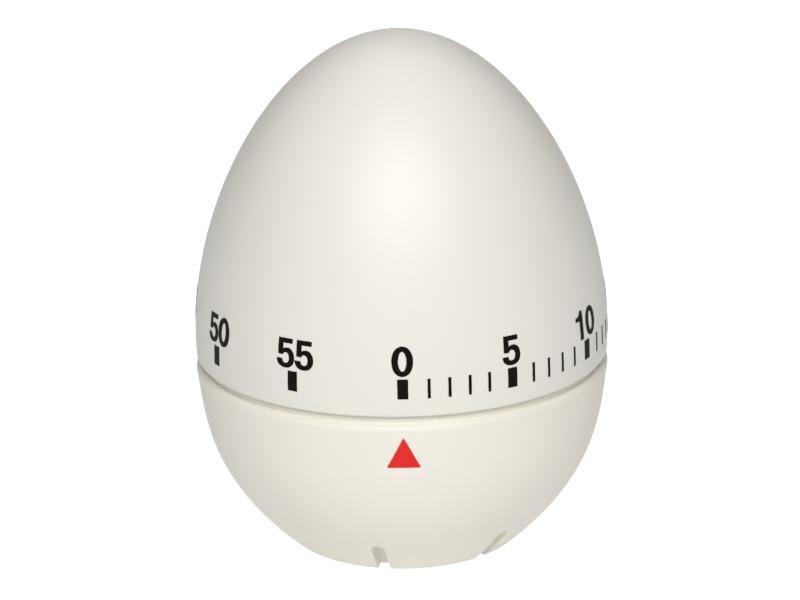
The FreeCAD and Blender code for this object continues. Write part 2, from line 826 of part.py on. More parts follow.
def make_train():
    link = heading(second_at, third_at)
    back = heading(second_at, CENTRE)
    turn = meshing_turn(pinion_leaves, back, main_teeth, second_angle, second_angle)
    low = main_wheel_height - (pinion_length - main_wheel_thickness) / 2
    pinion = toothed(pinion_leaves, main_module, low, low + pinion_length, second_at, turn)
    save("second_arbor", shaft(second_at).fuse(pinion).removeSplitter())
    make_wheel("second_wheel", second_teeth, second_at, second_wheel_height, link)
    back = heading(third_at, second_at)
    turn = meshing_turn(pinion_leaves, back, second_teeth, link, link)
    low = second_wheel_height - (pinion_length - wheel_thickness) / 2
    pinion = toothed(pinion_leaves, train_module, low, low + pinion_length, third_at, turn)
    arbor = shaft(third_at, star_height - star_shaft_tip).fuse(pinion)
    save("third_arbor", arbor.removeSplitter())
    link = heading(third_at, escape_at)
    make_wheel("third_wheel", third_teeth, third_at, third_wheel_height, link)
    back = heading(escape_at, third_at)
    turn = meshing_turn(pinion_leaves, back, third_teeth, link, link)
    low = third_wheel_height - (pinion_length - wheel_thickness) / 2
    pinion = toothed(pinion_leaves, train_module, low, low + pinion_length, escape_at, turn)
    save("escape_arbor", shaft(escape_at).fuse(pinion).removeSplitter())


def make_wheel(name, teeth, at, low, turn):
    high = low + wheel_thickness
    rim = teeth * train_module / 2
    wheel = toothed(teeth, train_module, low, high, at, turn)
    wheel = crossed_out(wheel, at, wheel_hub, rim - wheel_rim, low, high)
    save(name, wheel.cut(disc(shaft_radius, low - 1, high + 1, at)))


def make_escapement():
    low = escape_wheel_height
    high = low + wheel_thickness
    line = heading(escape_at, pallet_at)
    pitch = 360 / escape_teeth
    turn = line + pallet_half_span + pitch / 4
    tip, root = escape_tip_radius, escape_root_radius
    points = teeth_outline(escape_teeth, tip, root, escape_tip_share, escape_root_share, escape_at, turn)
    wheel = crossed_out(prism(points, low, high), escape_at, escape_hub, root - escape_rim, low, high)
    save("escape_wheel", wheel.cut(disc(shaft_radius, low - 1, high + 1, escape_at)))
    save("pallet_arbor", shaft(pallet_at))
    reach = escape_tip_radius + pallet_pin_radius + pallet_drop
    ends = [beside(reach, escape_at, line + side * pallet_half_span) for side in (-1, 1)]
    arm_low = high + pallet_lift
    arm_high = arm_low + pallet_thickness
    arms = [bar(pallet_at, end, pallet_arm_width, arm_low, arm_high) for end in ends]
    lever = disc(pallet_hub, arm_low, arm_high, pallet_at).fuse(arms)
    tail_end = beside(pallet_tail, pallet_at, line)
    lever = lever.fuse(bar(pallet_at, tail_end, pallet_tail_width, arm_low, arm_high))
    lever = lever.cut(disc(shaft_radius, arm_low - 1, arm_high + 1, pallet_at))
    save("pallet_lever", lever.removeSplitter())
    save("pallet_pins", *[disc(pallet_pin_radius, low - 0.1, arm_low, end) for end in ends])


# Striking work
def make_bell():
    low = bell_floor
    high = low + bell_height
    cup = disc(bell_radius, low, high)
    cup = cup.makeFillet(bell_round, [e for e in cup.Edges if e.BoundBox.ZMax < low + 0.01])
    inside = disc(bell_radius - bell_wall, low + bell_wall, high + 1)
    base = [e for e in inside.Edges if e.BoundBox.ZMax < low + bell_wall + 0.01]
    inside = inside.makeFillet(bell_round - bell_wall, base)
    save("bell", cup.cut(inside).cut(disc(screw_radius, low - 1, high)))
    cap_low = bottom_plate_height - bell_post_cap
    post = ring(bell_post_radius, screw_pilot, low + bell_wall, cap_low)
    cap = disc(bell_post_radius, cap_low, bottom_plate_height)
    cap = cap.cut(disc(arbor_radius + 2 * run_fit, cap_low + 2 * run_fit, bottom_plate_height))
    save("bell_post", post.fuse(cap).removeSplitter())
    head_low = low - bell_screw_head
    head = disc(bell_screw_head_radius, head_low, low)
    corner = V(-2 * bell_screw_head_radius, -bell_screw_slot / 2, head_low)
    slot = Part.makeBox(4 * bell_screw_head_radius, bell_screw_slot, bell_screw_head / 2, corner)
    save("bell_screw", head.fuse(disc(screw_pilot, low, low + bell_screw_length)).cut(slot).removeSplitter())


def make_hammer():
    low = hammer_height
    high = low + hammer_thickness
    head_at = V(hammer_head_at[0], hammer_head_at[1], 0)
    tail_end = beside(hammer_tail - hammer_arm_width / 2, hammer_at, heading(hammer_at, third_at))
    arm = bar(hammer_at, head_at, hammer_arm_width, low, high).fuse([
        bar(hammer_at, tail_end, hammer_arm_width, low, high),
        disc(hammer_hub_radius, low - hammer_hub_rise, high + hammer_hub_rise, hammer_at),
    ])
    arm = arm.cut([
        disc(hammer_post_radius + run_fit, low - 1, high + 1, hammer_at),
        disc(hammer_head_radius, low - 1, high + 1, head_at),
    ])
    save("hammer_arm", arm.removeSplitter())
    head_low = bell_floor + bell_round - hammer_head_drop
    save("hammer_head", disc(hammer_head_radius, head_low, head_low + hammer_head_length, head_at))
    save("hammer_post", disc(hammer_post_radius, low - post_tip, bottom_plate_height, hammer_at))
    clip_low = low - 2 * clip_thickness
    save("hammer_clip", ring(clip_radius, hammer_post_radius, clip_low, clip_low + clip_thickness, hammer_at))
    coil_low = high + hammer_hub_rise + coil_gap + spring_wire
    coil_height = bottom_plate_height - coil_gap - spring_wire - coil_low
    coil_radius = hammer_post_radius + coil_play + spring_wire
    path = Part.makeHelix(coil_height / coil_turns, coil_height, coil_radius)
    wire = Part.Wire(path.Edges)
    start = V(coil_radius, 0, 0)
    section = Part.Wire(Part.makeCircle(spring_wire, start, V(0, 1, 0)))
    coil = wire.makePipeShell([section], True, True)
    coil.translate(V(hammer_at.x, hammer_at.y, coil_low))
    save("hammer_spring", coil)


def make_strike_star():
    low = star_height
    high = low + star_thickness
    turn = heading(third_at, hammer_at)
    points = teeth_outline(star_teeth, star_radius, star_root, star_tip_share, star_root_share, third_at, turn)
    save("strike_star", prism(points, low, high).cut(disc(pivot_radius, low - 1, high + 1, third_at)))


def make_release():
    low = plate_top + cam_lift
    high = low + release_thickness
    block_low = hammer_height
    block_high = block_low + hammer_thickness
    arbor = shaft(release_at, block_low - release_shaft_tip, high + release_shaft_tip)
    save("release_arbor", arbor.removeSplitter())
    away = heading(CENTRE, nose_at)
    tip = polar(cam_radius + nose_clearance + release_tip, away)
    lever = bar(release_at, tip, release_arm_width, low, high).fuse(disc(release_hub, low, high, release_at))
    lever = lever.cut(disc(pivot_radius, low - 1, high + 1, release_at))
    save("release_lever", lever.removeSplitter())
    toward = heading(release_at, hammer_at)
    block = disc(block_hub, block_low, block_high, release_at)
    end = beside(block_radius - release_arm_width / 2, release_at, toward - block_turn)
    toe = bar(release_at, end, release_arm_width, block_low, block_high)
    block = block.fuse(toe).cut(disc(pivot_radius, block_low - 1, block_high + 1, release_at))
    save("hammer_block", block.removeSplitter())


os.makedirs("parts", exist_ok=True)
make_top_shell()
make_drive_bush()
make_dial_print()
make_main_arbor()
make_clutch()
make_strike_cam()
make_stop()
make_base_shell()
make_pointer_print()
make_base_cover()
make_movement_cover()
make_cover_screws()
make_plates()
make_pillars()
make_mainspring()
make_main_wheel()
make_train()
make_escapement()
make_bell()
make_hammer()
make_strike_star()
make_release()
for place_name, place in (
    ("second", second_at), ("third", third_at), ("escape", escape_at), ("pallet", pallet_at),
    ("hammer", hammer_at), ("release", release_at),
):
    print("axis", place_name, round(place.x, 4), round(place.y, 4))
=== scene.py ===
import json
import math

import bmesh
import bpy
from mathutils import Matrix, Vector, noise


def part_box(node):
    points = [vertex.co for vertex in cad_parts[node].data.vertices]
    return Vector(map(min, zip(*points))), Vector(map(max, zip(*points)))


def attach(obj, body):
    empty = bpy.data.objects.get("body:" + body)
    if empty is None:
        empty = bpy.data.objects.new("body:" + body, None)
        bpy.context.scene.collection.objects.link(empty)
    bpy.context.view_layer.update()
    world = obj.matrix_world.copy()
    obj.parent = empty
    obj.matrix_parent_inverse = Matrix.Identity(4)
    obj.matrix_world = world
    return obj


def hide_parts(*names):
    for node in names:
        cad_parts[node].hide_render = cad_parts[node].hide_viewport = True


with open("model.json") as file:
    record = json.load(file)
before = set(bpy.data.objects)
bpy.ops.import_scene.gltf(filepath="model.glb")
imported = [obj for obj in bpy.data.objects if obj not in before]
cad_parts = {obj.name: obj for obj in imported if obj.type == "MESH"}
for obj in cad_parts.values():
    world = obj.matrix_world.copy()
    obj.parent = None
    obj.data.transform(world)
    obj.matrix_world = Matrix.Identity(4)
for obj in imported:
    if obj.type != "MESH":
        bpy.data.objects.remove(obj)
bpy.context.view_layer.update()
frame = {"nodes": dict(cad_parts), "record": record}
nodes = frame["nodes"]
print("frame loaded:", len(nodes), "nodes")

# The egg's sizes that the frame gives
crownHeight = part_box("top_shell")[1].z
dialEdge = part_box("top_shell")[0].z
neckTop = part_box("base_shell")[1].z
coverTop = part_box("base_cover")[1].z
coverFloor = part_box("base_cover")[0].z
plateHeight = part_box("top_plate")[0].z
bushLow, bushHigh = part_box("drive_bush")
bushRadius = bushHigh.x

mergeWithin = 1e-6  # points nearer than this are one
nearTo = 1e-5  # how close to a radius still counts as on it
cutPast = 0.001  # how far a cutter runs past a face
smoothUnder = 35  # degrees; sharper edges stay sharp


# Helpers: selecting, editing, joining
def selectOnly(piece):
    bpy.ops.object.select_all(action="DESELECT")
    piece.select_set(True)
    bpy.context.view_layer.objects.active = piece


def editAll(piece):
    selectOnly(piece)
    bpy.ops.object.mode_set(mode="EDIT")
    bpy.ops.mesh.select_all(action="SELECT")


def endEdit():
    bpy.ops.object.mode_set(mode="OBJECT")


# Place, turn and size go into the mesh
def settle(piece):
    selectOnly(piece)
    bpy.ops.object.transform_apply(location=True, rotation=True, scale=True)


# Select, in edit mode, the edges whose two ends pass the test
def pickEdges(piece, test):
    editAll(piece)
    bpy.ops.mesh.select_mode(type="EDGE")
    bpy.ops.mesh.select_all(action="DESELECT")
    mesh = bmesh.from_edit_mesh(piece.data)
    count = 0
    for edge in mesh.edges:
        if test(edge):
            edge.select_set(True)
            count += 1
    bmesh.update_edit_mesh(piece.data)
    return count


def applyModifier(piece, kind, **values):
    selectOnly(piece)
    bpy.ops.object.modifier_add(type=kind)
    modifier = piece.modifiers[-1]
    for name, value in values.items():
        setattr(modifier, name, value)
    bpy.ops.object.modifier_apply(modifier=modifier.name)


# Join, cut or cross with another mesh, which is then gone
def combine(piece, other, way):
    applyModifier(piece, "BOOLEAN", operation=way, object=other, solver="EXACT")
    bpy.data.objects.remove(other)


def smooth(piece, angle):
    selectOnly(piece)
    bpy.ops.object.shade_smooth_by_angle(angle=math.radians(angle))


def finishPiece(piece, name, body, material, stands):
    piece.name = name
    piece.data.name = name
    piece.data.materials.clear()
    piece.data.materials.append(material)
    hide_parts(stands)
    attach(piece, body)
    print("piece made:", name, len(piece.data.polygons), "faces")


def cylinder(radius, low, high, x, y, vertices=48):
    bpy.ops.object.select_all(action="DESELECT")
    middle = (x, y, (low + high) / 2)
    bpy.ops.mesh.primitive_cylinder_add(
        vertices=vertices, radius=radius, depth=high - low, location=middle)
    piece = bpy.context.object
    settle(piece)
    return piece


def block(wide, deep, low, high, x, y):
    bpy.ops.object.select_all(action="DESELECT")
    bpy.ops.mesh.primitive_cube_add(size=1, location=(x, y, (low + high) / 2))
    piece = bpy.context.object
    piece.scale = (wide, deep, high - low)
    settle(piece)
    return piece


# Helpers: curves
def bezier(poles, share):
    a, b, c, d = poles
    rest = 1 - share
    return a * rest**3 + b * (3 * share * rest**2) + c * (3 * share**2 * rest) + d * share**3


def splitBezier(poles, share):
    a, b, c, d = poles
    ab, bc, cd = a.lerp(b, share), b.lerp(c, share), c.lerp(d, share)
    abc, bcd = ab.lerp(bc, share), bc.lerp(cd, share)
    middle = abc.lerp(bcd, share)
    return (a, ab, abc, middle), (middle, bcd, cd, d)


def shareAt(poles, height):
    low, high = 0.0, 1.0
    for _ in range(40):
        middle = (low + high) / 2
        if bezier(poles, middle).y < height:
            low = middle
        else:
            high = middle
    return low


# Poles of the curve that runs beside this one, nearer the middle
def inset(poles, depth):
    a, b, c, d = poles
    first, last = (b - a).normalized(), (d - c).normalized()
    a2 = a + Vector((-first.y, first.x)) * depth
    d2 = d + Vector((-last.y, last.x)) * depth
    shrink = (d2 - a2).length / (d - a).length
    return a2, a2 + (b - a) * shrink, d2 - (d - c) * shrink, d2


# A Bezier curve through runs of poles, each run with 4 poles, or 2 where it is straight
def drawCurve(name, pieces, closed, detail):
    bpy.ops.object.select_all(action="DESELECT")
    bpy.ops.curve.primitive_bezier_curve_add()
    obj = bpy.context.object
    obj.name = name
    curve = obj.data
    curve.splines.clear()
    curve.dimensions = "2D"
    curve.resolution_u = detail
    for runs in pieces:
        spline = curve.splines.new("BEZIER")
        spline.bezier_points.add(len(runs) - (1 if closed else 0))
        spline.use_cyclic_u = closed
        points = spline.bezier_points
        for point in points:
            point.handle_left_type = "VECTOR"
            point.handle_right_type = "VECTOR"
        for place, run in enumerate(runs):
            start = points[place]
            end = points[(place + 1) % len(points)]
            start.co = run[0].to_3d()
            end.co = run[-1].to_3d()
        for place, run in enumerate(runs):
            if len(run) == 4:
                start = points[place]
                end = points[(place + 1) % len(points)]
                start.handle_right_type = "FREE"
                end.handle_left_type = "FREE"
                start.handle_right = run[1].to_3d()
                end.handle_left = run[2].to_3d()
    return obj


def toMesh(obj):
    selectOnly(obj)
    bpy.ops.object.convert(target="MESH")
    return bpy.context.object


# Turn a flat drawing so that its height runs up
def standUp(obj):
    obj.data.transform(Matrix.Rotation(math.pi / 2, 4, "X"))


def spinRound(obj, steps):
    editAll(obj)
    bpy.ops.mesh.spin(steps=steps, angle=2 * math.pi, center=(0, 0, 0), axis=(0, 0, 1))
    bpy.ops.mesh.select_all(action="SELECT")
    bpy.ops.mesh.remove_doubles(threshold=mergeWithin)
    bpy.ops.mesh.normals_make_consistent(inside=False)
    endEdit()


# Node groups
def newGroup(name, inputs, outputs):
    group = bpy.data.node_groups.new(name, "ShaderNodeTree")
    for label, kind, value in inputs:
        socket = group.interface.new_socket(label, in_out="INPUT", socket_type=kind)
        socket.default_value = value
    for label, kind in outputs:
        group.interface.new_socket(label, in_out="OUTPUT", socket_type=kind)
    return group, group.nodes.new("NodeGroupInput"), group.nodes.new("NodeGroupOutput")


def addNode(tree, kind, values=None, **settings):
    node = tree.nodes.new(kind)
    for name, value in settings.items():
        setattr(node, name, value)
    for name, value in (values or {}).items():
        node.inputs[name].default_value = value
    return node


# Fine spark-eroded grain of a moulded surface
def makeGrainGroup():
    group, given, out = newGroup(
        "mouldGrain",
        [("Scale", "NodeSocketFloat", 9000.0), ("Uneven", "NodeSocketFloat", 120.0)],
        [("Height", "NodeSocketFloat"), ("Gloss", "NodeSocketFloat")],
    )
    link = group.links.new
    place = addNode(group, "ShaderNodeTexCoord")
    fine = addNode(group, "ShaderNodeTexNoise", {"Detail": 3.0, "Roughness": 0.6})
    broad = addNode(group, "ShaderNodeTexNoise", {"Detail": 4.0, "Roughness": 0.55})
    link(place.outputs["Object"], fine.inputs["Vector"])
    link(place.outputs["Object"], broad.inputs["Vector"])
    link(given.outputs["Scale"], fine.inputs["Scale"])
    link(given.outputs["Uneven"], broad.inputs["Scale"])
    link(fine.outputs["Fac"], out.inputs["Height"])
    link(broad.outputs["Fac"], out.inputs["Gloss"])
    return group


# Fine lines round the axis, as turning, drawing or polishing leaves them
def makeStreakGroup():
    group, given, out = newGroup(
        "toolStreaks",
        [("Spacing", "NodeSocketFloat", 3000.0), ("Stretch", "NodeSocketVector", (1.0, 1.0, 0.05))],
        [("Height", "NodeSocketFloat"), ("Gloss", "NodeSocketFloat")],
    )
    link = group.links.new
    place = addNode(group, "ShaderNodeTexCoord")
    stretch = addNode(group, "ShaderNodeVectorMath", operation="MULTIPLY")
    lines = addNode(group, "ShaderNodeTexNoise", {"Detail": 2.0, "Roughness": 0.5})
    stain = addNode(group, "ShaderNodeTexNoise", {"Scale": 160.0, "Detail": 4.0})
    link(place.outputs["Object"], stretch.inputs[0])
    link(given.outputs["Stretch"], stretch.inputs[1])
    link(stretch.outputs["Vector"], lines.inputs["Vector"])
    link(given.outputs["Spacing"], lines.inputs["Scale"])
    link(place.outputs["Object"], stain.inputs["Vector"])
    link(lines.outputs["Fac"], out.inputs["Height"])
    link(stain.outputs["Fac"], out.inputs["Gloss"])
    return group


grainGroup = makeGrainGroup()
streakGroup = makeStreakGroup()


def newMaterial(name):
    material = bpy.data.materials.new(name)
    material.use_nodes = True
    return material, material.node_tree, material.node_tree.nodes["Principled BSDF"]


# Feed colour, roughness and bump of a shader from a group's two outputs
def surfaceFrom(tree, shader, group, settings, colours, roughness, depth):
    link = tree.links.new
    effect = addNode(tree, "ShaderNodeGroup", node_tree=group)
    for name, value in settings.items():
        effect.inputs[name].default_value = value
    tint = addNode(tree, "ShaderNodeMix", data_type="RGBA")
    tint.inputs["A"].default_value = (*colours[0], 1)
    tint.inputs["B"].default_value = (*colours[1], 1)
    link(effect.outputs["Gloss"], tint.inputs["Factor"])
    link(tint.outputs["Result"], shader.inputs["Base Color"])
    spread = addNode(tree, "ShaderNodeMapRange", {"To Min": roughness[0], "To Max": roughness[1]})
    link(effect.outputs["Gloss"], spread.inputs["Value"])
    link(spread.outputs["Result"], shader.inputs["Roughness"])
    bump = addNode(tree, "ShaderNodeBump", {"Distance": depth})
    link(effect.outputs["Height"], bump.inputs["Height"])
    link(bump.outputs["Normal"], shader.inputs["Normal"])


def makePlastic(name, colours, roughness, depth, gloss):
    material, tree, shader = newMaterial(name)
    surfaceFrom(tree, shader, grainGroup, {}, colours, roughness, depth)
    shader.inputs["Specular IOR Level"].default_value = gloss
    shader.inputs["IOR"].default_value = 1.49
    return material


def makeMetal(name, colours, roughness, depth, stretch):
    material, tree, shader = newMaterial(name)
    surfaceFrom(tree, shader, streakGroup, {"Stretch": stretch}, colours, roughness, depth)
    shader.inputs["Metallic"].default_value = 1.0
    return material


# Two colours, the range of roughness, the grain's depth and the gloss
plastics = {
    "dialPlastic": [(0.814, 0.790, 0.726), (0.845, 0.820, 0.756), (0.40, 0.48), 0.000012, 0.5],
    "basePlastic": [(0.870, 0.835, 0.751), (0.902, 0.866, 0.782), (0.42, 0.50), 0.000012, 0.5],
    "scaleInk": [(0.006, 0.003, 0.002), (0.009, 0.005, 0.004), (0.40, 0.55), 0.000006, 0.08],
    "pointerInk": [(0.76, 0.026, 0.021), (0.80, 0.030, 0.025), (0.35, 0.45), 0.000006, 0.1],
    "movementPlastic": [(0.62, 0.62, 0.60), (0.68, 0.68, 0.66), (0.35, 0.5), 0.00001, 0.5],
}
aroundAxis = (1.0, 1.0, 0.05)
alongX = (0.05, 1.0, 1.0)
alongZ = (0.05, 0.05, 1.0)
# Two colours, the range of roughness, the streaks' depth and the way they run
metals = {
    "plateSteel": [(0.55, 0.56, 0.57), (0.66, 0.67, 0.66), (0.28, 0.42), 0.000004, alongX],
    "arborSteel": [(0.56, 0.55, 0.54), (0.63, 0.62, 0.60), (0.18, 0.30), 0.000003, alongZ],
    "wheelBrass": [(0.72, 0.49, 0.20), (0.80, 0.58, 0.27), (0.22, 0.36), 0.000004, alongX],
    "springSteel": [(0.10, 0.13, 0.22), (0.16, 0.19, 0.28), (0.20, 0.34), 0.000003, aroundAxis],
    "bellSteel": [(0.70, 0.68, 0.64), (0.76, 0.74, 0.70), (0.10, 0.20), 0.000002, aroundAxis],
    "screwSteel": [(0.60, 0.57, 0.46), (0.70, 0.67, 0.55), (0.22, 0.36), 0.000004, aroundAxis],
}
surfaces = {}
for name, (first, second, roughness, depth, gloss) in plastics.items():
    surfaces[name] = makePlastic(name, [first, second], roughness, depth, gloss)
for name, (first, second, roughness, depth, stretch) in metals.items():
    surfaces[name] = makeMetal(name, [first, second], roughness, depth, stretch)
print("materials made")

# Dial shell
dial = {
    "edgeRadius": 0.030,
    "flare": 0.0011,
    "rise": 0.0214,
    "reach": 0.0169,
    "wall": 0.0018,
    "edgeRound": 0.00008,
    "edgeSteps": 4,
    "steps": 192,
    "detail": 56,
    "socketWall": 0.0014,
    "socketSides": 64,
    "boreSpare": 0.0005,  # room over the bush
    "ribWidth": 0.0012,
    "ribAngles": (45, 135),
    "ribDetail": 24,
}
dialPoles = (
    Vector((dial["edgeRadius"], dialEdge)),
    Vector((dial["edgeRadius"] + dial["flare"], dialEdge + dial["rise"])),
    Vector((dial["reach"], crownHeight)),
    Vector((0.0, crownHeight)),
)


# A web across the inside, from the socket to the wall
def makeDialRib(angle, low, tubeRadius):
    inner = inset(dialPoles, dial["wall"] / 2)
    meet = low + dial["rise"]
    right = splitBezier(inner, shareAt(inner, meet))[1]
    left = [Vector((-p.x, p.y)) for p in reversed(right)]
    foot = [Vector((-tubeRadius, low)), Vector((tubeRadius, low))]
    runs = [right, left, (left[-1], foot[0]), foot, (foot[1], right[0])]
    rib = drawCurve("rib", [runs], True, dial["ribDetail"])
    rib.data.fill_mode = "BOTH"
    rib.data.extrude = dial["ribWidth"] / 2
    rib = toMesh(rib)
    standUp(rib)
    rib.data.transform(Matrix.Rotation(math.radians(angle), 4, "Z"))
    editAll(rib)
    bpy.ops.mesh.remove_doubles(threshold=mergeWithin)
    bpy.ops.mesh.normals_make_consistent(inside=False)
    endEdit()
    return rib


def makeDialShell():
    shell = toMesh(drawCurve("dialShell", [[dialPoles]], False, dial["detail"]))
    standUp(shell)
    spinRound(shell, dial["steps"])
    applyModifier(shell, "SOLIDIFY", thickness=dial["wall"], offset=-1.0, use_even_offset=True)
    rounded = pickEdges(shell, lambda e: all(
        v.co.z < dialEdge + mergeWithin and v.co.xy.length > dial["edgeRadius"] - nearTo
        for v in e.verts))
    bpy.ops.mesh.bevel(offset=dial["edgeRound"], segments=dial["edgeSteps"], affect="EDGES")
    endEdit()
    print("dial edge rounded:", rounded, "edges")
    tubeRadius = bushRadius + dial["socketWall"]
    low = bushLow.z
    high = crownHeight - dial["wall"] / 2
    sides = dial["socketSides"]
    tube = cylinder(tubeRadius, low, high, 0, 0, sides)
    for angle in dial["ribAngles"]:
        combine(tube, makeDialRib(angle, low, tubeRadius), "UNION")
    combine(shell, tube, "UNION")
    bore = cylinder(bushRadius, low - cutPast, bushHigh.z + dial["boreSpare"], 0, 0, sides)
    combine(shell, bore, "DIFFERENCE")
    smooth(shell, smoothUnder)
    finishPiece(shell, "dialShell", "dial", surfaces["dialPlastic"], "top_shell")


makeDialShell()

# Base shell
base = {
    "rimRadius": 0.03025,
    "rimLean": 0.00121,
    "rimDrop": 0.00731,
    "rimRound": 0.0008,
    "neckRadius": 0.0291,
    "neckHeight": 0.00098,
    "footRadius": 0.0173,
    "bellyOut": 0.01261,
    "bellyUp": 0.01126,
    "footRound": 0.00020,
    "footSteps": 3,
    "wall": 0.0018,
    "ledgeWidth": 0.0016,
    "ledgeDepth": 0.0010,
    "steps": 192,
    "detail": 28,
}
bosses = {
    "angles": (90, 210, 330),
    "ring": 0.0244,
    "radius": 0.0025,
    "web": 0.0016,
    "webLength": 0.006,
    "pilot": 0.00085,
    "pilotSides": 32,
    "depth": 0.010,
}
notches = {
    "azimuths": (-10.1, 38.7, 169.9, 218.7),
    "width": 0.00187,
    "height": 0.0059,
    "depth": 0.00205,
    "wall": 0.0012,
    "round": 0.00022,
    "corner": 0.00025,
    "lean": 0.15,  # how much deeper the notch gets for its height
    "sideSteps": 6,
    "archSteps": 16,
    "mouthTurns": (-20, 10, 30, 50, 70, 90),  # degrees round the mouth's rounding
    "cornerTurns": (0, 30, 60, 90),  # and round the back's
    "standOut": 6,  # how many times further out the mouth starts
}
shoulder = neckTop - base["neckHeight"]
basePoles = (
    Vector((base["footRadius"], 0)),
    Vector((base["footRadius"] + base["bellyOut"], base["bellyUp"])),
    Vector((base["rimRadius"] - base["rimLean"], shoulder - base["rimDrop"])),
    Vector((base["rimRadius"], shoulder)),
)


# The radius of the outline at a height; below its foot it runs on straight
def radiusAt(poles, height):
    a, b = poles[0], poles[1]
    if height < a.y:
        return a.x + (b.x - a.x) * (height - a.y) / (b.y - a.y)
    return bezier(poles, shareAt(poles, height)).x


# The wall's section: foot, outer curve, rounded shoulder, neck, inner curve and ledge
def baseProfile():
    rimRound = base["rimRound"]
    middleLine = inset(basePoles, rimRound)
    share = shareAt(middleLine, shoulder - rimRound)
    rimCentre = bezier(middleLine, share)
    outer, rest = splitBezier(basePoles, share)
    rimTop = Vector((rimCentre.x, shoulder))
    along = (rest[1] - rest[0]).normalized()
    turn = math.pi / 2 - math.atan2(along.x, along.y)
    reach = 4 / 3 * math.tan(turn / 4) * rimRound
    rim = (outer[3], outer[3] + along * reach, rimTop + Vector((reach, 0)), rimTop)
    inner = inset(basePoles, base["wall"])
    inner = splitBezier(inner, shareAt(inner, shoulder))[0]
    below, above = splitBezier(inner, shareAt(inner, coverFloor))
    ledgeLow = coverFloor - base["ledgeDepth"]
    below = splitBezier(below, shareAt(below, ledgeLow))[0]
    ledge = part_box("base_cover")[1].x - base["ledgeWidth"]
    corner = Vector((below[0].x, 0))
    neckFoot = Vector((base["neckRadius"], shoulder))
    neckOut = Vector((base["neckRadius"], neckTop))
    neckIn = Vector((above[3].x, neckTop))
    return [
        (corner, basePoles[0]),
        outer,
        rim,
        (rimTop, neckFoot),
        (neckFoot, neckOut),
        (neckOut, neckIn),
        (neckIn, above[3]),
        tuple(reversed(above)),
        (above[0], Vector((ledge, coverFloor))),
        (Vector((ledge, coverFloor)), Vector((ledge, ledgeLow))),
        (Vector((ledge, ledgeLow)), below[3]),
        tuple(reversed(below)),
        (below[0], corner),
    ]


# The solid inside the middle of the base's wall, which trims what joins that wall
def makeWithin():
    middle = inset(basePoles, base["wall"] / 2)
    low, high = Vector((0, 0)), Vector((0, middle[3].y))
    corner = Vector((middle[0].x, 0))
    runs = [(low, corner), (corner, middle[0]), middle, (middle[3], high), (high, low)]
    body = toMesh(drawCurve("within", [runs], True, base["detail"]))
    standUp(body)
    spinRound(body, base["steps"])
    return body


def turned(piece, angle):
    piece.data.transform(Matrix.Rotation(math.radians(angle), 4, "Z"))
    return piece


# One object of several separate meshes
def gather(pieces):
    bpy.ops.object.select_all(action="DESELECT")
    for piece in pieces:
        piece.select_set(True)
    bpy.context.view_layer.objects.active = pieces[0]
    bpy.ops.object.join()
    return pieces[0]


def makeBoss(angle):
    boss = cylinder(bosses["radius"], coverFloor, plateHeight, bosses["ring"], 0)
    middle = bosses["ring"] + bosses["webLength"] / 2
    web = block(bosses["webLength"], bosses["web"], coverFloor, plateHeight, middle, 0)
    combine(boss, web, "UNION")
    return turned(boss, angle)


# A closed skin through loops of equal length whose two halves mirror each other
def loft(name, loops):
    mesh = bmesh.new()
    rows = [[mesh.verts.new(point) for point in loop] for loop in loops]
    count = len(loops[0])
    for first, second in zip(rows, rows[1:]):
        for place in range(count):
            after = (place + 1) % count
            mesh.faces.new((first[place], first[after], second[after], second[place]))
    for row in (rows[0], rows[-1]):
        for place in range(count // 2):
            corners = (row[place], row[place + 1], row[count - 2 - place], row[count - 1 - place])
            mesh.faces.new(dict.fromkeys(corners))
    bmesh.ops.recalc_face_normals(mesh, faces=mesh.faces)
    data = bpy.data.meshes.new(name)
    mesh.to_mesh(data)
    mesh.free()
    piece = bpy.data.objects.new(name, data)
    bpy.context.scene.collection.objects.link(piece)
    return piece


# An arched block let into the bowl's side, its back as steep as the bowl; its mouth opens softly
def makeNotchBlock(azimuth, grow, lean):
    half = notches["width"] / 2 + grow
    straight = notches["height"] - notches["width"] / 2
    sideSteps, archSteps = notches["sideSteps"], notches["archSteps"]
    levels = [straight * place / sideSteps for place in range(-1, sideSteps)]
    outline = [(Vector((-1, 0)), Vector((-half, level))) for level in levels]
    for place in range(archSteps + 1):
        turn = math.pi * (1 - place / archSteps)
        side = Vector((math.cos(turn), math.sin(turn)))
        outline.append((side, Vector((0, straight)) + side * half))
    outline += [(Vector((1, 0)), Vector((half, level))) for level in reversed(levels)]
    steps = []  # how much wider than the block, and how far in from the surface
    for turn in notches["mouthTurns"]:
        angle = math.radians(turn)
        times = 1 if turn > 0 else -notches["standOut"]
        deep = notches["round"] * (1 - math.cos(angle)) * times
        steps.append((notches["round"] * (1 - math.sin(angle)), deep))
    for turn in notches["cornerTurns"]:
        angle = math.radians(turn)
        deep = notches["depth"] + grow - notches["corner"] * (1 - math.sin(angle))
        steps.append((-notches["corner"] * (1 - math.cos(angle)), deep))
    loops = []
    for wide, deep in steps:
        loop = []
        for side, point in outline:
            spot = point + side * wide
            inward = deep + (lean * max(0, spot.y) if deep > notches["round"] else 0)
            surface = math.sqrt((radiusAt(basePoles, spot.y) - inward) ** 2 - spot.x ** 2)
            loop.append((spot.x, -surface, spot.y))
        loops.append(loop)
    return turned(loft("notch", loops), azimuth)


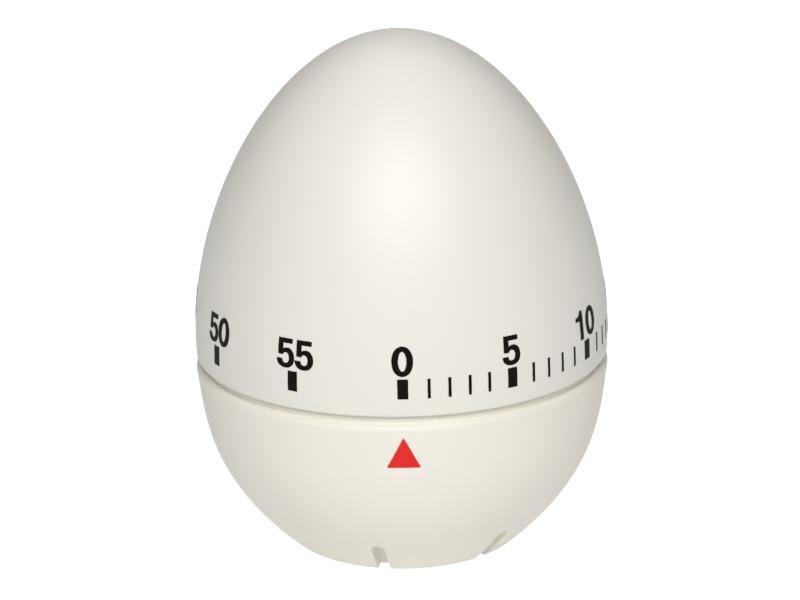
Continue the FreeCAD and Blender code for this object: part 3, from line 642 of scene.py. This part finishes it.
def makeBaseShell():
    shell = toMesh(drawCurve("baseShell", [baseProfile()], True, base["detail"]))
    standUp(shell)
    spinRound(shell, base["steps"])
    rounded = pickEdges(shell, lambda e: all(
        v.co.z < mergeWithin and v.co.xy.length > base["footRadius"] - nearTo
        for v in e.verts))
    bpy.ops.mesh.bevel(offset=base["footRound"], segments=base["footSteps"], affect="EDGES")
    endEdit()
    print("foot rounded:", rounded, "edges")
    added = [makeBoss(angle) for angle in bosses["angles"]]
    added += [makeNotchBlock(azimuth, notches["wall"], 0) for azimuth in notches["azimuths"]]
    added = gather(added)
    combine(added, makeWithin(), "INTERSECT")
    combine(shell, added, "UNION")
    cutters = [makeNotchBlock(azimuth, 0, notches["lean"]) for azimuth in notches["azimuths"]]
    holeLow, holeHigh = plateHeight - bosses["depth"], plateHeight + cutPast
    for angle in bosses["angles"]:
        hole = cylinder(bosses["pilot"], holeLow, holeHigh, bosses["ring"], 0, bosses["pilotSides"])
        cutters.append(turned(hole, angle))
    combine(shell, gather(cutters), "DIFFERENCE")
    smooth(shell, smoothUnder)
    finishPiece(shell, "baseShell", "case", surfaces["basePlastic"], "base_shell")


makeBaseShell()

# Printing
printing = {
    "ink": 0.00004,
    "cell": 0.00032,
    "ragged": 0.000035,
    "raggedEvery": 0.00035,
    "raggedSeed": 5,
    "spread": 0.000025,  # how far the ink runs past its drawing
    "numeralHeight": 0.00415,
    "numeralDetail": 10,
    "advance": 0.00293,
    "lateShift": 0.00037,  # numerals above 10 stand this far past their marks
    "gap": 0.00040,
    "markWidth": 0.00143,
    "markHeight": 0.00276,
    "markBase": 0.00257,
    "minuteWidth": 0.00037,
    "fineBlocks": 3,
    "blocks": 12,
    "minutesEach": 5,
}
pointer = {"width": 0.0046, "height": 0.00455, "drop": 0.0031}
noise.seed_set(printing["raggedSeed"])  # the same edges each run
# Outlines in hundredths of a numeral's height: 2 numbers end a straight line, 6 end a curve
glyphs = {
    "0": [
        [(0, 50), (0, 80, 14.7, 100, 34.7, 100), (54.7, 100, 69.5, 80, 69.5, 50),
         (69.5, 20, 54.7, 0, 34.7, 0), (14.7, 0, 0, 20, 0, 50)],
        [(20.5, 50), (20.5, 70, 27.7, 83.5, 34.7, 83.5), (41.7, 83.5, 48.9, 70, 48.9, 50),
         (48.9, 30, 41.7, 16.5, 34.7, 16.5), (27.7, 16.5, 20.5, 30, 20.5, 50)],
    ],
    "1": [
        [(49, 0), (49, 100), (34, 100), (31, 88, 21, 80, 5, 80), (5, 68), (29, 68), (29, 0), (49, 0)],
    ],
    "2": [
        [(0, 0), (66.5, 0), (66.5, 15.5), (25, 15.5), (27, 21, 33, 27, 42, 34),
         (58, 45, 67, 54, 67, 70), (67, 88, 54, 100, 34.5, 100),
         (14, 100, 2, 87, 2, 65), (20.5, 65), (20.5, 78, 25, 84.5, 34, 84.5),
         (43, 84.5, 48, 78.5, 48, 69.5), (48, 60, 42, 54, 31, 46.5), (11, 33, 0, 21, 0, 0)],
    ],
    "3": [
        [(0, 29), (1, 11, 14, 0, 33.5, 0), (54, 0, 67.5, 11, 67.5, 29), (67.5, 41, 61, 49.5, 51, 52),
         (59, 55.5, 64, 63, 64, 73), (64, 89, 52, 100, 33.5, 100),
         (14.5, 100, 3, 89, 2.5, 71), (20.5, 71),
         (21, 80, 25, 85, 33, 85), (41, 85, 45.5, 80, 45.5, 72.5), (45.5, 63.5, 40, 58.5, 26.5, 58.5),
         (26.5, 45.5), (41.5, 45.5, 48.5, 41, 48.5, 30), (48.5, 20.5, 43, 15, 34, 15),
         (25, 15, 20, 20.5, 19.5, 29), (0, 29)],
    ],
    "4": [
        [(41, 0), (58, 0), (58, 23), (69, 23), (69, 37), (58, 37), (58, 98), (39, 98), (0, 39), (0, 23),
         (41, 23), (41, 0)],
        [(41, 37), (14, 37), (41, 78), (41, 37)],
    ],
    "5": [
        [(6.5, 98.5), (60, 98.5), (60, 83.5), (24, 83.5), (24, 62), (29, 66, 35, 67.5, 42, 67.5),
         (57, 67.5, 67.5, 52, 67.5, 32), (67.5, 12, 53, 0, 33, 0), (14, 0, 0, 10, 0, 29), (21, 29),
         (22, 20, 26, 15.3, 33, 15.3), (43, 15.3, 48.4, 22, 48.4, 32), (48.4, 44, 44, 51.6, 34.6, 51.6),
         (29, 51.6, 25, 48, 23, 43), (5.5, 44), (6.5, 98.5)],
    ],
}


glyphMiddle = 35


def glyphRuns(loop, size):
    runs = []
    last = Vector(loop[0]) * size
    for step in loop[1:]:
        points = [Vector(step[place:place + 2]) * size for place in range(0, len(step), 2)]
        runs.append((last, *points))
        last = points[-1]
    return runs


# Cut a flat drawing into small cells, so that it can follow a curved surface
def cutGrid(piece, cell):
    corners = [v.co for v in piece.data.vertices]
    editAll(piece)
    for axis in (0, 1):
        low = min(c[axis] for c in corners)
        high = max(c[axis] for c in corners)
        normal = (1, 0, 0) if axis == 0 else (0, 1, 0)
        for place in range(1, math.ceil((high - low) / cell)):
            spot = [0, 0, 0]
            spot[axis] = low + place * cell
            bpy.ops.mesh.select_all(action="SELECT")
            bpy.ops.mesh.bisect(plane_co=spot, plane_no=normal)
    endEdit()


def flatGlyph(name):
    size = printing["numeralHeight"] / 100
    loops = [glyphRuns(loop, size) for loop in glyphs[name]]
    drawn = drawCurve("glyph" + name, loops, True, printing["numeralDetail"])
    drawn.data.fill_mode = "FRONT"
    drawn = toMesh(drawn)
    drawn.data.transform(Matrix.Translation((-glyphMiddle * size, 0, 0)))
    return drawn


def flatBar(width, height):
    bpy.ops.object.select_all(action="DESELECT")
    bpy.ops.mesh.primitive_plane_add(size=1, location=(0, height / 2, 0))
    piece = bpy.context.object
    piece.scale = (width, height, 1)
    settle(piece)
    return piece


def flatArrow():
    piece = flatBar(pointer["width"], pointer["height"])
    editAll(piece)
    bpy.ops.mesh.select_all(action="DESELECT")
    bpy.ops.mesh.select_mode(type="VERT")
    mesh = bmesh.from_edit_mesh(piece.data)
    for vertex in mesh.verts:
        vertex.select_set(vertex.co.y > pointer["height"] / 2)
    bmesh.update_edit_mesh(piece.data)
    bpy.ops.mesh.merge(type="CENTER")
    endEdit()
    return piece


def copyOf(piece):
    twin = piece.copy()
    twin.data = piece.data.copy()
    bpy.context.scene.collection.objects.link(twin)
    return twin


# Bend a flat drawing round the body, with the uneven edge that pad printing leaves
def laidOn(piece, poles, azimuth, shift, height):
    mesh = bmesh.new()
    mesh.from_mesh(piece.data)
    middle = math.radians(azimuth)
    moves = {}
    for vertex in mesh.verts:
        if vertex.is_boundary:
            spot = Vector((vertex.co.x + shift, vertex.co.y, azimuth))
            wobble = noise.noise_vector(spot / printing["raggedEvery"]) * printing["ragged"]
            centre = sum((face.calc_center_median() for face in vertex.link_faces), Vector())
            away = (vertex.co - centre / len(vertex.link_faces)).normalized() * printing["spread"]
            moves[vertex] = Vector((wobble.x + away.x, wobble.y + away.y, 0))
    for vertex in mesh.verts:
        spot = vertex.co + moves.get(vertex, Vector()) + Vector((shift, 0, 0))
        level = height + spot.y
        radius = radiusAt(poles, level)
        turn = middle + spot.x / radius
        vertex.co = (radius * math.sin(turn), -radius * math.cos(turn), level)
    mesh.normal_update()
    if sum(face.normal.dot(face.calc_center_median()) for face in mesh.faces) < 0:
        bmesh.ops.reverse_faces(mesh, faces=mesh.faces)
    mesh.to_mesh(piece.data)
    mesh.free()
    return piece


def inked(pieces, name, body, material, stands):
    sheet = gather(pieces)
    applyModifier(sheet, "SOLIDIFY", thickness=printing["ink"], offset=1.0)
    smooth(sheet, smoothUnder)
    finishPiece(sheet, name, body, material, stands)


def makeScale():
    flat = {name: flatGlyph(name) for name in glyphs}
    flat["mark"] = flatBar(printing["markWidth"], printing["markHeight"])
    flat["minute"] = flatBar(printing["minuteWidth"], printing["markHeight"])
    for piece in flat.values():
        cutGrid(piece, printing["cell"])
    step = 360 / printing["blocks"]
    markLevel = dialEdge + printing["markBase"]
    numeralLevel = markLevel + printing["markHeight"] + printing["gap"]
    half = math.degrees(printing["markWidth"] / 2 / dial["edgeRadius"])
    made = []
    for sector in range(printing["blocks"]):
        text = str(sector * printing["minutesEach"])
        made.append(laidOn(copyOf(flat["mark"]), dialPoles, sector * step, 0, markLevel))
        for place, digit in enumerate(text):
            shift = (place - (len(text) - 1) / 2) * printing["advance"]
            shift += printing["lateShift"] if int(text) > 10 else 0
            made.append(laidOn(copyOf(flat[digit]), dialPoles, sector * step, shift, numeralLevel))
        if sector < printing["fineBlocks"]:
            pitch = (step - 2 * half) / printing["minutesEach"]
            for line in range(1, printing["minutesEach"]):
                azimuth = sector * step + half + line * pitch
                made.append(laidOn(copyOf(flat["minute"]), dialPoles, azimuth, 0, markLevel))
    for piece in flat.values():
        bpy.data.objects.remove(piece)
    inked(made, "dialScale", "dial", surfaces["scaleInk"], "dial_scale_print")


def makePointer():
    arrow = flatArrow()
    cutGrid(arrow, printing["cell"])
    level = dialEdge - pointer["drop"] - pointer["height"]
    laidOn(arrow, basePoles, 0, 0, level)
    ink = surfaces["pointerInk"]
    inked([arrow], "pointerArrow", "case", ink, "pointer_print")


makeScale()
makePointer()

# Floor, light and camera
studio = {
    "floorSize": 8.0,
    "floorDrop": 0.00002,
    "floorColour": (0.50, 0.50, 0.50, 1),
    "floorBounce": 0.46,  # what the paper throws onto the egg
    "floorGlow": (0.80, 1.00),  # how white it looks beside the egg, and far off
    "floorFade": (0.10, 0.60),
    "lamps": {
        "keyLight": {"at": (0.0, -0.73, 0.72), "size": (0.70, 0.40), "power": 8.7},
        "topLight": {"at": (0.0, 0.25, 1.0), "size": (0.80, 0.80), "power": 2.3},
        "backLight": {"at": (0.0, 0.85, 0.20), "size": (0.25, 0.25), "power": 3.0},
    },
}


def makeFloor():
    bpy.ops.object.select_all(action="DESELECT")
    bpy.ops.mesh.primitive_plane_add(size=studio["floorSize"], location=(0, 0, -studio["floorDrop"]))
    floor = bpy.context.object
    floor.name = "floor"
    material, tree, shader = newMaterial("floorPaper")
    link = tree.links.new
    shader.inputs["Base Color"].default_value = studio["floorColour"]
    shader.inputs["Roughness"].default_value = 0.9
    shader.inputs["Specular IOR Level"].default_value = 0.0
    shader.inputs["Emission Color"].default_value = (1, 1, 1, 1)
    place = addNode(tree, "ShaderNodeTexCoord")
    away = addNode(tree, "ShaderNodeVectorMath", operation="LENGTH")
    fade = addNode(tree, "ShaderNodeMapRange", {
        "From Min": studio["floorFade"][0], "From Max": studio["floorFade"][1],
        "To Min": studio["floorGlow"][0], "To Max": studio["floorGlow"][1]})
    path = addNode(tree, "ShaderNodeLightPath")
    seen = addNode(tree, "ShaderNodeMapRange", {"To Min": studio["floorBounce"]})
    link(place.outputs["Object"], away.inputs[0])
    link(away.outputs["Value"], fade.inputs["Value"])
    link(fade.outputs["Result"], seen.inputs["To Max"])
    link(path.outputs["Is Camera Ray"], seen.inputs["Value"])
    link(seen.outputs["Result"], shader.inputs["Emission Strength"])
    floor.data.materials.append(material)


def makeLight():
    for name, lamp in studio["lamps"].items():
        bpy.ops.object.light_add(type="AREA", location=lamp["at"])
        light = bpy.context.object
        light.name = name
        light.data.shape = "RECTANGLE"
        light.data.size, light.data.size_y = lamp["size"]
        light.data.energy = lamp["power"]
        light.visible_glossy = name != "backLight"  # no glare over the crown
        aim = Vector((0, 0, crownHeight / 2)) - light.location
        light.rotation_euler = aim.to_track_quat("-Z", "Y").to_euler()
    world = bpy.data.worlds.new("studio")
    world.use_nodes = True
    bpy.context.scene.world = world
    tree = world.node_tree
    tree.nodes["Background"].inputs["Color"].default_value = (1, 1, 1, 1)
    path = addNode(tree, "ShaderNodeLightPath")
    tree.links.new(path.outputs["Is Camera Ray"], tree.nodes["Background"].inputs["Strength"])


cameraView = {
    "elevation": 18.356,
    "distance": 0.360,
    "target": (-0.000159, 0.0, 0.034996),
    "roll": -0.989,
    "lens": 111.03,
    "nearest": 0.01,
}


def makeCamera():
    tilt = math.radians(cameraView["elevation"])
    roll = math.radians(cameraView["roll"])
    back = Vector((0, -math.cos(tilt), math.sin(tilt)))
    right = Vector((1, 0, 0))
    up = back.cross(right)
    across = right * math.cos(roll) + up * math.sin(roll)
    upright = up * math.cos(roll) - right * math.sin(roll)
    place = Vector(cameraView["target"]) + back * cameraView["distance"]
    bpy.ops.object.camera_add()
    camera = bpy.context.object
    camera.data.lens = cameraView["lens"]
    camera.data.clip_start = cameraView["nearest"]
    turn = Matrix((across, upright, back)).transposed().to_4x4()
    camera.matrix_world = Matrix.Translation(place) @ turn
    bpy.context.scene.camera = camera


makeFloor()
makeLight()
makeCamera()
bpy.context.scene.view_settings.view_transform = "Standard"
print("studio set")

# Finishes of the CAD nodes
finishes = {
    "dial_plastic": "dialPlastic",
    "base_plastic": "basePlastic",
    "scale_ink": "scaleInk",
    "pointer_ink": "pointerInk",
    "movement_plastic": "movementPlastic",
    "plate_steel": "plateSteel",
    "arbor_steel": "arborSteel",
    "wheel_brass": "wheelBrass",
    "spring_steel": "springSteel",
    "bell_steel": "bellSteel",
    "screw_steel": "screwSteel",
}


def paintNodes():
    slotNames = {}
    for entry in frame["record"]["materials"]:
        slotNames[entry["slot"]] = surfaces[finishes[entry["slot"]]]
    for name, node in nodes.items():
        for place, used in enumerate(node.data.materials):
            base = used.name.split(".")[0] if used else ""
            if base in slotNames:
                node.data.materials[place] = slotNames[base]
    print("nodes painted")


paintNodes()
